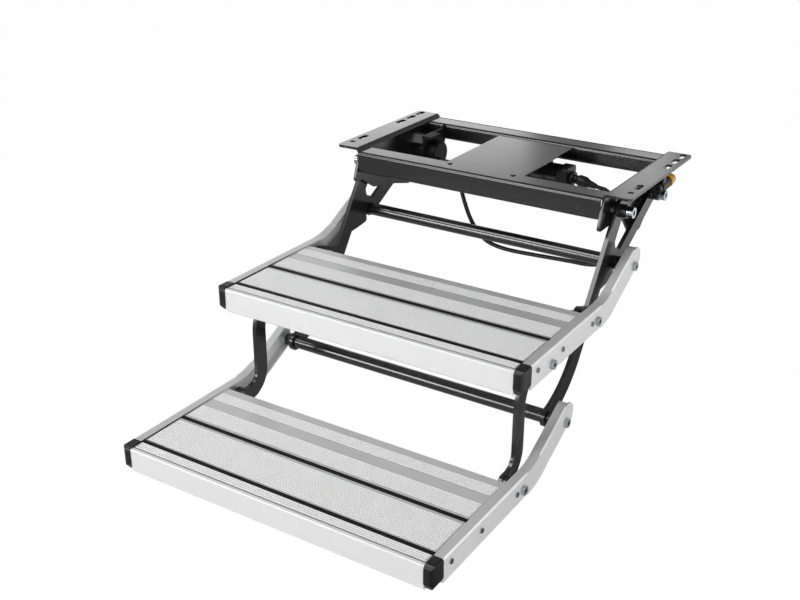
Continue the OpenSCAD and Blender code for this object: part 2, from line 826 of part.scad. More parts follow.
// Bolt through a rail and an arm or link, with a nut on the inside
module through_bolt(p) {
  inner = arm_in - run_gap;
  bolt_head(p);
  pin(p, inner - nut_h, rail_out + 1, pivot_d);
  hex_pin(p, inner - nut_h, inner, nut_d - 3);
  rail_spacer(p, run_gap);
}

// Bolt that ends flush with its spacer
module stub_bolt(p) {
  bolt_head(p);
  pin(p, sleeve_out + open_gap, rail_out + 1, pivot_d);
  rail_spacer(p, open_gap);
}

// Bolt through a rail and a long arm into the end of the lower cross rod
module rod_bolt(p) {
  bolt_head(p);
  pin(p, arm_in - rod_bore_l + 2, rail_out + 1, pivot_d);
  rail_spacer(p, run_gap);
}

module at_upper() {
  translate([0, upper_at[0], upper_at[1]]) children();
}

module at_lower() {
  translate([0, lower_at[0], lower_at[1]]) children();
}

module upper_board() {
  color(aluminium) at_upper() tread_board();
}

module upper_grip_strips() {
  color(rubber) at_upper() grip_strips();
}

module upper_rail_left() {
  color(aluminium) at_upper() mirror([1, 0, 0]) tread_rail([rail_p1, rail_p2, rail_p3]);
}

module upper_rail_right() {
  color(aluminium) at_upper() tread_rail([rail_p1, rail_p2, rail_p3]);
}

module upper_end_caps() {
  color(rubber) at_upper() both_sides() end_cap();
}

module upper_rail_screws() {
  color(plated) at_upper() tread_screws();
}

module upper_pivot_bolts() {
  color(plated) at_upper() both_sides() {
    through_bolt(rail_p1);
    through_bolt(rail_p2);
    stub_bolt(rail_p3);
  }
}

module lower_board() {
  color(aluminium) at_lower() tread_board();
}

module lower_grip_strips() {
  color(rubber) at_lower() grip_strips();
}

module lower_rail_left() {
  color(aluminium) at_lower() mirror([1, 0, 0]) tread_rail([rail_p2, rail_p3]);
}

module lower_rail_right() {
  color(aluminium) at_lower() tread_rail([rail_p2, rail_p3]);
}

module lower_end_caps() {
  color(rubber) at_lower() both_sides() end_cap();
}

module lower_rail_screws() {
  color(plated) at_lower() tread_screws();
}

module lower_pivot_bolts() {
  color(plated) at_lower() both_sides() {
    stub_bolt(rail_p2);
    rod_bolt(rail_p3);
  }
}

// Front links, from the upper rails down to the lower ones

link_path = route([pivot_h, [pivot_h[0] + link_set_back, pivot_h[1], link_r],
  [pivot_h[0] + link_set_back, pivot_f[1] - 62, 60], pivot_f]);

module front_link() {
  difference() {
    union() {
      across(arm_in, arm_t) {
        polygon(ribbon(link_path, link_w / 2));
        disc(pivot_f, link_w / 2);
        disc(pivot_h, link_w / 2);
      }
      sleeve(pivot_f, sleeve_out);
      sleeve(pivot_h, sleeve_out);
    }
    pivot_bore(pivot_f, sleeve_out, pivot_d + 2 * pivot_fit);
  }
}

module front_link_left() {
  color(black_steel) mirror([1, 0, 0]) front_link();
}

module front_link_right() {
  color(black_steel) front_link();
}

side_bracket_left();
side_bracket_right();
front_cross_rail();
rear_cross_rail();
cover_plate();
cover_screws();
gear_mount();
gear_case();
gear_bolts();
drive_motor();
shaft_bush();
control_unit();
control_end_cap();
unit_saddle();
lead_gland();
lead_boot();
motor_lead();
supply_plug();
supply_plug_cap();
front_pivot_bolts();
rear_pivot_bolt();
arm_washers();
rear_arm_left();
rear_arm_right();
drive_shaft();
upper_cross_rod();
long_arm_left();
long_arm_right();
lower_cross_rod();
upper_board();
upper_grip_strips();
upper_rail_left();
upper_rail_right();
upper_end_caps();
upper_rail_screws();
upper_pivot_bolts();
front_link_left();
front_link_right();
lower_board();
lower_grip_strips();
lower_rail_left();
lower_rail_right();
lower_end_caps();
lower_rail_screws();
lower_pivot_bolts();
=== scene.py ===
"""Looks of a motor-driven double folding step for a caravan doorway.

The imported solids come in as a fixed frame. This script dresses them: it eases their edges, gives each
its finish, presses the tread teeth and lays the motor's lead. The frame's axes are X across the step,
Y towards the vehicle and Z up. The stage is in metres, and the sizes of the step's pieces are in mm.
"""

from __future__ import annotations

import logging
import math
from dataclasses import dataclass, field
from enum import Enum, IntEnum
from typing import Callable

import bmesh
import bpy
from mathutils import Euler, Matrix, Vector

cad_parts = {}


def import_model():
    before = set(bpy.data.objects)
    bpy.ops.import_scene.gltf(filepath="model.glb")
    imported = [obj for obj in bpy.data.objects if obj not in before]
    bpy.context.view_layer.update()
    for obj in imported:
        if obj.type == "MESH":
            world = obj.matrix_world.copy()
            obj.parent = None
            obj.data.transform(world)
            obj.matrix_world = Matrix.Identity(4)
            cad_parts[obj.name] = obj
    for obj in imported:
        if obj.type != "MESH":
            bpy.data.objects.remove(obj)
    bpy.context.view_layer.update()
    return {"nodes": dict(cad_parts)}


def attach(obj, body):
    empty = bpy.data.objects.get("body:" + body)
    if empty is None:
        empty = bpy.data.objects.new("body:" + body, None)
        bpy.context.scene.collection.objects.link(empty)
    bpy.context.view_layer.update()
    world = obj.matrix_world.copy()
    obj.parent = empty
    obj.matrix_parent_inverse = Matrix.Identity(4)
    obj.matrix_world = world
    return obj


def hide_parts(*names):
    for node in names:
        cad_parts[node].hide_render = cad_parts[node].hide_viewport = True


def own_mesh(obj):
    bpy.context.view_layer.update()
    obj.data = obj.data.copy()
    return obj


LOG = logging.getLogger("folding_step")
MM = 0.001
MM_PER_M = 1000
WHITE = (1.0, 1.0, 1.0, 1.0)
SIDES = ("left", "right")

Pair = tuple[float, float]
Point = tuple[float, float, float]
FaceRule = Callable[[bpy.types.MeshPolygon], bool]


class Body(Enum):
    """The moving groups of the step."""

    FRAME = "frame"
    REAR_ARMS = "rear_arms"
    LONG_ARMS = "long_arms"
    UPPER_TREAD = "upper_tread"
    LINK_LEFT = "front_link_left"
    LINK_RIGHT = "front_link_right"
    LOWER_TREAD = "lower_tread"


class Slot(Enum):
    """The record's material slots."""

    STEEL = "black_steel"
    PLATE = "plated_steel"
    ALUMINIUM = "aluminium"
    GRIP = "grip_rubber"
    PLASTIC = "black_plastic"
    LEAD = "lead_rubber"
    YELLOW = "yellow_plastic"


class Grain(Enum):
    """How far a drawing streak is stretched along each axis, in streaks per metre."""

    ACROSS = (9.0, 1400.0, 1400.0)
    ALONG = (1400.0, 9.0, 1400.0)


class Blend(IntEnum):
    """Places of a colour mix node's sockets, which share their names with other kinds of mix."""

    SHARE = 0
    FIRST = 6
    SECOND = 7
    RESULT = 2


def linear(colour: str) -> tuple[float, float, float, float]:
    """Turns an sRGB hex value into a linear colour.

    Args:
        colour: Six hex digits after a hash.

    Returns:
        Red, green, blue and an alpha of one.
    """
    parts = [int(colour[i : i + 2], 16) / 255 for i in (1, 3, 5)]
    red, green, blue = (c / 12.92 if c <= 0.04045 else ((c + 0.055) / 1.055) ** 2.4 for c in parts)
    return red, green, blue, 1.0


def add_node(
    tree: bpy.types.NodeTree, kind: str, inputs: dict[str | int, object] | None = None, **settings: object
) -> bpy.types.Node:
    """Adds a node with its settings, values and links.

    Args:
        tree: The tree that takes the node.
        kind: The node's type.
        inputs: A value or a socket for each named or numbered input.
        **settings: Properties of the node itself.

    Returns:
        The new node.
    """
    node = tree.nodes.new(kind)
    for key, value in settings.items():
        setattr(node, key, value)
    for key, value in (inputs or {}).items():
        if isinstance(value, bpy.types.NodeSocket):
            tree.links.new(value, node.inputs[key])
        else:
            node.inputs[key].default_value = value
    return node


# Finishes

# Detail of the noise in slow drifts and streaks, and in a fine grain
DRIFT_DETAIL = 3.0
GRAIN_DETAIL = 2.0
# Depth of a full relief, of which each finish has a share
RELIEF_MM = 0.1
# Where the teeth store how high a point lies on them, which their finish reads
TOOTH_HEIGHT = "height"


@dataclass(frozen=True)
class Finish:
    """A surface as it was made: what it is called, its slot and its plain values."""

    name: str
    slot: Slot
    colour: str
    shade: str
    roughness: float
    metallic: float = 0.0
    specular: float = 0.5
    mottle_mm: float = 40.0
    relief: float = 0.08
    spread: float = 0.08

    def material(self) -> bpy.types.Material:
        """Gives the finish's material, made on its first use.

        Returns:
            The material.
        """
        found = bpy.data.materials.get(self.name)
        if found:
            return found
        made = bpy.data.materials.new(self.name)
        made.use_nodes = True
        tree = made.node_tree
        shader = tree.nodes["Principled BSDF"]
        shader.inputs["Metallic"].default_value = self.metallic
        shader.inputs["Specular IOR Level"].default_value = self.specular
        self.dress(tree, shader)
        return made

    def dress(self, tree: bpy.types.NodeTree, shader: bpy.types.Node) -> None:
        """Draws the surface's colour, gloss and relief.

        Args:
            tree: The material's nodes.
            shader: The surface shader that takes them.
        """
        place = add_node(tree, "ShaderNodeTexCoord").outputs["Object"]
        mottle = add_node(
            tree,
            "ShaderNodeTexNoise",
            {"Vector": place, "Scale": MM_PER_M / self.mottle_mm, "Detail": DRIFT_DETAIL},
        ).outputs["Fac"]
        self.tint(tree, shader, mottle)
        shine, height = self.texture(tree, place, mottle)
        gloss = add_node(
            tree,
            "ShaderNodeMapRange",
            {"Value": shine, "To Min": self.roughness - self.spread, "To Max": self.roughness + self.spread},
        )
        tree.links.new(gloss.outputs[0], shader.inputs["Roughness"])
        bump = add_node(
            tree, "ShaderNodeBump", {"Strength": self.relief, "Distance": RELIEF_MM * MM, "Height": height}
        )
        tree.links.new(bump.outputs[0], shader.inputs["Normal"])

    def tint(
        self, tree: bpy.types.NodeTree, shader: bpy.types.Node, pattern: bpy.types.NodeSocket
    ) -> None:
        """Lets the colour drift between its two shades.

        Args:
            tree: The material's nodes.
            shader: The surface shader.
            pattern: Where each shade lies.
        """
        mixed = add_node(
            tree,
            "ShaderNodeMix",
            {Blend.SHARE: pattern, Blend.FIRST: linear(self.colour), Blend.SECOND: linear(self.shade)},
            data_type="RGBA",
        )
        tree.links.new(mixed.outputs[Blend.RESULT], shader.inputs["Base Color"])

    def texture(
        self, tree: bpy.types.NodeTree, place: bpy.types.NodeSocket, mottle: bpy.types.NodeSocket
    ) -> tuple[bpy.types.NodeSocket, bpy.types.NodeSocket]:
        """Draws what the surface feels like.

        Args:
            tree: The material's nodes.
            place: Position on the piece.
            mottle: The slow drift that the colour follows.

        Returns:
            The patterns that the gloss and the relief follow.
        """
        raise NotImplementedError


@dataclass(frozen=True)
class Skin(Finish):
    """A coating or moulding with an even, fine-grained skin."""

    grain_mm: float = 1.6

    def texture(
        self, tree: bpy.types.NodeTree, place: bpy.types.NodeSocket, mottle: bpy.types.NodeSocket
    ) -> tuple[bpy.types.NodeSocket, bpy.types.NodeSocket]:
        """Draws an orange-peel relief under a gloss that drifts with the mottle.

        Args:
            tree: The material's nodes.
            place: Position on the piece.
            mottle: The slow drift that the colour follows.

        Returns:
            The patterns that the gloss and the relief follow.
        """
        grain = add_node(
            tree,
            "ShaderNodeTexNoise",
            {"Vector": place, "Scale": MM_PER_M / self.grain_mm, "Detail": GRAIN_DETAIL},
        )
        return mottle, grain.outputs["Fac"]


@dataclass(frozen=True)
class Drawn(Finish):
    """Metal with the fine streaks that drawing or extruding leaves along its length."""

    relief: float = 0.05
    spread: float = 0.07
    grain: Grain = Grain.ACROSS

    def texture(
        self, tree: bpy.types.NodeTree, place: bpy.types.NodeSocket, mottle: bpy.types.NodeSocket
    ) -> tuple[bpy.types.NodeSocket, bpy.types.NodeSocket]:
        """Draws streaks in both the gloss and the relief.

        Args:
            tree: The material's nodes.
            place: Position on the piece.
            mottle: The slow drift, which the streaks take the place of.

        Returns:
            The patterns that the gloss and the relief follow.
        """
        stretched = add_node(tree, "ShaderNodeMapping", {"Vector": place, "Scale": self.grain.value})
        streak = add_node(
            tree,
            "ShaderNodeTexNoise",
            {"Vector": stretched.outputs[0], "Scale": 1.0, "Detail": DRIFT_DETAIL},
        ).outputs["Fac"]
        return streak, streak


@dataclass(frozen=True)
class Toothed(Drawn):
    """Drawn metal cut into teeth, with painted shade on the flanks towards the grooves between the ribs."""

    dark_to: float = 0.25
    slant: float = 0.5

    def tint(
        self, tree: bpy.types.NodeTree, shader: bpy.types.Node, pattern: bpy.types.NodeSocket
    ) -> None:
        """Puts painted shade, the darker colour, on the flanks that face a groove, fading towards the
        teeth's tops.

        Args:
            tree: The material's nodes.
            shader: The surface shader.
            pattern: The slow drift, which the teeth don't need.
        """
        height = add_node(tree, "ShaderNodeAttribute", attribute_name=TOOTH_HEIGHT).outputs["Fac"]
        foot = add_node(
            tree,
            "ShaderNodeMapRange",
            {"Value": height, "From Min": self.dark_to, "From Max": 1.0, "To Min": 1.0, "To Max": 0.0},
        )
        normal = add_node(tree, "ShaderNodeTexCoord").outputs["Normal"]
        lean = add_node(tree, "ShaderNodeSeparateXYZ", {0: normal}).outputs["Y"]
        flank = add_node(tree, "ShaderNodeMath", {0: lean}, operation="ABSOLUTE")
        groove = add_node(
            tree,
            "ShaderNodeMapRange",
            {"Value": flank.outputs[0], "From Max": self.slant, "To Max": foot.outputs[0]},
        )
        super().tint(tree, shader, groove.outputs[0])


# Baked polyester powder on steel: satin, nearly black, with a slight orange peel that softens reflections.
POWDER_COAT = Skin(
    "powder_coated_steel",
    Slot.STEEL,
    "#121213",
    "#161617",
    roughness=0.22,
    specular=0.8,
    mottle_mm=60,
    grain_mm=1.8,
    spread=0.02,
)
# The same powder on drawn tube, which flows out smoother and shows a soft line of light.
TUBE_COAT = Skin(
    "powder_coated_tube",
    Slot.STEEL,
    "#0f0f10",
    "#131314",
    roughness=0.21,
    specular=1.0,
    spread=0.03,
    relief=0.02,
)
# Matt black enamel of the motor and its gear: dull, so that it stays dark inside the frame.
MOTOR_ENAMEL = Skin("matt_black_enamel", Slot.STEEL, "#0c0c0d", "#131314", roughness=0.55, specular=0.25)
# Bright zinc plate on turned steel: a cool, clean shine with slightly cloudy patches.
ZINC_PLATE = Skin(
    "zinc_plated_steel",
    Slot.PLATE,
    "#d2d4d6",
    "#bfc2c6",
    roughness=0.2,
    metallic=1.0,
    mottle_mm=6,
    relief=0.03,
)
# Stainless rail screws: greyer than the zinc, so that they stand out from the rails as dark dots.
STAINLESS = Skin(
    "stainless_steel",
    Slot.PLATE,
    "#b2b4b7",
    "#9c9ea1",
    roughness=0.24,
    metallic=1.0,
    mottle_mm=6,
    relief=0.03,
)
# Blasted and plated pivot bolts: satin and paler than the screws, so that the dark socket stands out.
BOLT_PLATE = Skin(
    "satin_plated_bolt",
    Slot.PLATE,
    "#bec0c2",
    "#aeb0b2",
    roughness=0.3,
    metallic=0.75,
    mottle_mm=6,
    relief=0.03,
)
# Painted shade in the bolts' hexagon sockets: dark and dull, so that they read as holes in bright heads.
SOCKET_PAINTED_SHADE = Skin("socket_painted_shade", Slot.PLATE, "#1c1c1d", "#262627", roughness=0.6, specular=0.2)
# Extruded aluminium, clear anodised: satin, pale, with drawing streaks along the board.
BOARD_ALUMINIUM = Drawn(
    "anodised_aluminium_board", Slot.ALUMINIUM, "#f0f0f0", "#e8e8e8", roughness=0.5, metallic=0.35
)
# The same extrusion in the side rails, whose streaks follow the rail.
RAIL_ALUMINIUM = Drawn(
    "anodised_aluminium_rail",
    Slot.ALUMINIUM,
    "#f0f0f0",
    "#e8e8e8",
    roughness=0.5,
    metallic=0.35,
    grain=Grain.ALONG,
)
# The pressed teeth of the same metal: bright on top, with painted shade on the flanks towards the grooves,
# so that the ribs show as fine lines.
TOOTH_ALUMINIUM = Toothed(
    "aluminium_teeth_painted_shade", Slot.ALUMINIUM, "#fbfbfb", "#484848", roughness=0.5, metallic=0.1
)
# The plain tops of board and rails: rolled smoother to mirror the dim room, and darker as painted shade.
TOP_PAINTED_SHADE = Drawn(
    "aluminium_tops_painted_shade", Slot.ALUMINIUM, "#d4d4d4", "#cccccc", roughness=0.42, metallic=0.42
)
# The board's rounded nose: rougher, and a little darker as painted shade, so that the lamps draw only a slim
# line on it.
NOSE_PAINTED_SHADE = Drawn(
    "nose_painted_shade", Slot.ALUMINIUM, "#e6e6e6", "#dedede", roughness=0.6, metallic=0.35
)
# The nosing's groove: painted shade in the groove, which draws a thin dark line along the front edge.
GROOVE_PAINTED_SHADE = Drawn(
    "groove_painted_shade", Slot.ALUMINIUM, "#868686", "#7c7c7c", roughness=0.6, specular=0.2
)
# Painted highlight on the rails' rounded corners: near white, so that they run as a bright line along the
# rail.
EDGE_PAINTED_HIGHLIGHT = Drawn(
    "rail_edge_painted_highlight", Slot.ALUMINIUM, "#ffffff", "#fafafa", roughness=0.35, grain=Grain.ALONG
)
# Moulded grip rubber: matt, deep black, with a dry fine grain.
GRIP_RUBBER = Skin(
    "moulded_grip_rubber",
    Slot.GRIP,
    "#0b0b0b",
    "#111111",
    roughness=0.6,
    specular=0.2,
    mottle_mm=15,
    grain_mm=1.2,
    relief=0.15,
)
# Moulded black polypropylene: satin with a spark-eroded grain, drawn coarser than life so that it shows.
MOULDED_PLASTIC = Skin(
    "moulded_polypropylene", Slot.PLASTIC, "#0d0d0e", "#131314", roughness=0.4, mottle_mm=20, grain_mm=1.0
)
# Soft PVC sheath of the lead and its boot: smooth, black, a little waxy.
SHEATH = Skin("pvc_sheath", Slot.LEAD, "#131313", "#1a1a1a", roughness=0.45, mottle_mm=25, grain_mm=2.0)
# Dyed ABS of the plug's cap: warm yellow, glossy.
YELLOW_ABS = Skin(
    "moulded_yellow_abs", Slot.YELLOW, "#dcae1c", "#cf9c12", roughness=0.28, mottle_mm=12, grain_mm=2.5
)


# Meshes

# Points of a solid that are nearer than this are one point, in metres
WELD = 2e-6
# Faces that differ by less are one flat face
FLAT_ANGLE = math.radians(0.5)
# Edges that are sharper get rounded
SHARP_ANGLE = math.radians(35)
EDGE_SEGMENTS = 2
# How strongly the large flat faces hold the shading of their edges
FLAT_WEIGHT = 60
# A fold is sharper than this, and each of its sides is so many times its radius wide
FOLD_ANGLE = math.radians(60)
FOLD_SIDE = 3
FOLD_SEGMENTS = 4
# A corner faces the middle of the step when its outward measure is less
INWARD = -1e-4


def linked(name: str, data: bpy.types.ID) -> bpy.types.Object:
    """Makes an object in the scene.

    Args:
        name: The object's name.
        data: Its mesh, lamp or camera.

    Returns:
        The object.
    """
    made = bpy.data.objects.new(name, data)
    bpy.context.scene.collection.objects.link(made)
    return made


def folds(bm: bmesh.types.BMesh, least: float) -> list[bmesh.types.BMEdge]:
    """Finds the long outer corners of a folded sheet or a drawn rail.

    Args:
        bm: The solid.
        least: How wide both sides are at the corner, in metres, so that cut edges are left out.

    Returns:
        The corners, without those that face the middle of the step.
    """
    found = []
    for edge in bm.edges:
        sides = edge.link_faces
        if len(sides) == 2 and edge.is_convex and edge.calc_face_angle() > FOLD_ANGLE:
            wide = min(face.calc_area() for face in sides) > least * edge.calc_length() > least**2
            outward = sum(face.normal.x for face in sides) * edge.verts[0].co.x
            if wide and outward > INWARD:
                found.append(edge)
    return found


def eased(source: bpy.types.Mesh, width: float, fold: float = 0.0) -> bpy.types.Mesh:
    """Copies a solid's mesh with its sharp edges rounded.

    Args:
        source: Mesh of the solid, in place.
        width: Width of the rounding, in metres.
        fold: Radius of folded corners, in metres.

    Returns:
        A closed mesh with smooth edges and flat faces.
    """
    mesh = source.copy()
    bm = bmesh.new()
    bm.from_mesh(mesh)
    bmesh.ops.remove_doubles(bm, verts=bm.verts, dist=WELD)
    bmesh.ops.dissolve_limit(bm, angle_limit=FLAT_ANGLE, verts=bm.verts, edges=bm.edges)
    if fold:
        bmesh.ops.bevel(
            bm,
            geom=folds(bm, FOLD_SIDE * fold),
            offset=fold,
            offset_type="OFFSET",
            segments=FOLD_SEGMENTS,
            profile=0.5,
            affect="EDGES",
        )
    for face in bm.faces:
        face.smooth = True
    bm.to_mesh(mesh)
    bm.free()
    mesh.materials.clear()
    holder = linked("easing", mesh)
    bevel = holder.modifiers.new("edges", "BEVEL")
    bevel.width = width
    bevel.segments = EDGE_SEGMENTS
    bevel.limit_method = "ANGLE"
    bevel.angle_limit = SHARP_ANGLE
    bevel.use_clamp_overlap = True
    holder.modifiers.new("flats", "WEIGHTED_NORMAL").weight = FLAT_WEIGHT
    return baked(holder)


def baked(holder: bpy.types.Object) -> bpy.types.Mesh:
    """Turns an object with modifiers into a plain mesh, and removes the object and its first mesh.

    Args:
        holder: The object, already linked to the scene.

    Returns:
        The evaluated mesh.
    """
    graph = bpy.context.evaluated_depsgraph_get()
    made = bpy.data.meshes.new_from_object(holder.evaluated_get(graph), depsgraph=graph)
    first = holder.data
    bpy.data.objects.remove(holder)
    bpy.data.meshes.remove(first)
    return made


def lofted(name: str, rows: list[list[Vector]]) -> bpy.types.Mesh:
    """Joins rows of points into a closed shell, round along its length and flat at both ends.

    Args:
        name: The mesh's name.
        rows: The rows from one end to the other, with as many points in each.

    Returns:
        The mesh, with its faces outwards.
    """
    bm = bmesh.new()
    rings = [[bm.verts.new(point) for point in row] for row in rows]
    for near, far in zip(rings, rings[1:]):
        for k in range(len(near)):
            bm.faces.new((near[k - 1], near[k], far[k], far[k - 1]))
    bm.faces.new(reversed(rings[0]))
    bm.faces.new(rings[-1])
    bmesh.ops.recalc_face_normals(bm, faces=bm.faces)
    for face in bm.faces:
        face.smooth = len(face.verts) == 4
    mesh = bpy.data.meshes.new(name)
    bm.to_mesh(mesh)
    bm.free()
    return mesh


def placed(mesh: bpy.types.Mesh, name: str, body: Body, finish: Finish, *nodes: str) -> bpy.types.Object:
    """Puts a finished mesh on its body.

    Args:
        mesh: The mesh, in the frame's axes.
        name: The piece's name.
        body: The group that it moves with.
        finish: What it is made of.
        *nodes: Solids that it stands for.

    Returns:
        The piece.
    """
    mesh.materials.clear()
    mesh.materials.append(finish.material())
    piece = linked(name, mesh)
    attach(piece, body.value)
    if nodes:
        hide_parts(*nodes)
    LOG.info("%s on %s, %d faces", name, body.value, len(mesh.polygons))
    return piece


def two_tone(piece: bpy.types.Object, finish: Finish, rule: FaceRule) -> None:
    """Gives some faces of a piece a second finish of the same metal.

    Args:
        piece: The piece.
        finish: The second finish.
        rule: Tells which faces take it.
    """
    piece.data.materials.append(finish.material())
    last = len(piece.data.materials) - 1
    for face in piece.data.polygons:
        if rule(face):
            face.material_index = last


def tooth_tree() -> tuple[bpy.types.NodeTree, dict[str, str]]:
    """Builds the geometry tree that sets rows of small four-sided teeth on a band.

    Returns:
        The tree and the identifier of each of its named inputs.
    """
    tree = bpy.data.node_groups.new("tooth_band", "GeometryNodeTree")
    tree.interface.new_socket("Geometry", in_out="INPUT", socket_type="NodeSocketGeometry")
    tree.interface.new_socket("Geometry", in_out="OUTPUT", socket_type="NodeSocketGeometry")
    sockets = {
        "Columns": "NodeSocketInt",
        "Rows": "NodeSocketInt",
        "Length": "NodeSocketFloat",
        "Depth": "NodeSocketFloat",
        "Top Radius": "NodeSocketFloat",
        "Foot Radius": "NodeSocketFloat",
        "Tooth Size": "NodeSocketVector",
        "Place": "NodeSocketVector",
        "Material": "NodeSocketMaterial",
    }
    known = {
        key: tree.interface.new_socket(key, in_out="INPUT", socket_type=kind).identifier
        for key, kind in sockets.items()
    }
    given = add_node(tree, "NodeGroupInput").outputs
    grid = add_node(
        tree,
        "GeometryNodeMeshGrid",
        {
            "Size X": given["Length"],
            "Size Y": given["Depth"],
            "Vertices X": given["Columns"],
            "Vertices Y": given["Rows"],
        },
    )
    tooth = add_node(
        tree,
        "GeometryNodeMeshCone",
        {
            "Vertices": 4,
            "Side Segments": 1,
            "Radius Top": given["Top Radius"],
            "Radius Bottom": given["Foot Radius"],
            "Depth": 1.0,
        },
    )
    point = add_node(tree, "GeometryNodeInputPosition").outputs[0]
    height = add_node(tree, "ShaderNodeSeparateXYZ", {0: point}).outputs["Z"]
    marked = add_node(
        tree,
        "GeometryNodeStoreNamedAttribute",
        {"Geometry": tooth.outputs["Mesh"], "Name": TOOTH_HEIGHT, "Value": height},
        data_type="FLOAT",
        domain="POINT",
    )
    square = add_node(
        tree, "GeometryNodeTransform", {"Geometry": marked.outputs[0], "Rotation": (0, 0, math.pi / 4)}
    )
    rows = add_node(
        tree,
        "GeometryNodeInstanceOnPoints",
        {"Points": grid.outputs["Mesh"], "Instance": square.outputs[0], "Scale": given["Tooth Size"]},
    )
    moved = add_node(
        tree, "GeometryNodeTransform", {"Geometry": rows.outputs[0], "Translation": given["Place"]}
    )
    real = add_node(tree, "GeometryNodeRealizeInstances", {0: moved.outputs[0]})
    coated = add_node(
        tree, "GeometryNodeSetMaterial", {"Geometry": real.outputs[0], "Material": given["Material"]}
    )
    add_node(tree, "NodeGroupOutput", {0: coated.outputs[0]})
    return tree, known


# Stage


def facing(at: Point, to: Point) -> Euler:
    """Turns a lamp or the camera towards a point.

    Args:
        at: Where it is.
        to: The point.

    Returns:
        Its rotation.
    """
    return (Vector(to) - Vector(at)).to_track_quat("-Z", "Y").to_euler()


@dataclass(frozen=True)
class Lamp:
    """A soft lamp: where it hangs, the point that it faces, its width and height, and its power."""

    name: str
    at: Point
    to: Point
    size: Pair
    watts: float
    mirrored: bool = True

    def hang(self) -> None:
        """Hangs the lamp. Glossy surfaces show it only if it is mirrored."""
        data = bpy.data.lights.new(self.name, "AREA")
        data.shape = "RECTANGLE"
        data.size, data.size_y = self.size
        data.energy = self.watts
        lamp = linked(self.name, data)
        lamp.location = self.at
        lamp.rotation_euler = facing(self.at, self.to)
        lamp.visible_glossy = self.mirrored


STEP_MIDDLE = (0.0, -0.3, -0.15)
# A key at the front left, a fill at the right and one overhead, then two cards for the black tops to mirror
LAMPS = (
    Lamp("key", (-1.3, -2.6, 0.45), STEP_MIDDLE, (1.1, 0.7), 24),
    Lamp("fill", (2.3, -1.6, 0.5), STEP_MIDDLE, (2.2, 1.5), 33, mirrored=False),
    Lamp("top", (-0.9, -1.4, 1.8), STEP_MIDDLE, (1.6, 1.0), 29),
    Lamp("panel", (-1.75, 1.95, 0.64), (0.0, 0.1, 0.0), (1.7, 0.36), 4.3),
    Lamp("card", (-0.40, 1.95, 0.62), (0.27, 0.1, 0.0), (0.22, 0.25), 0.34),
)


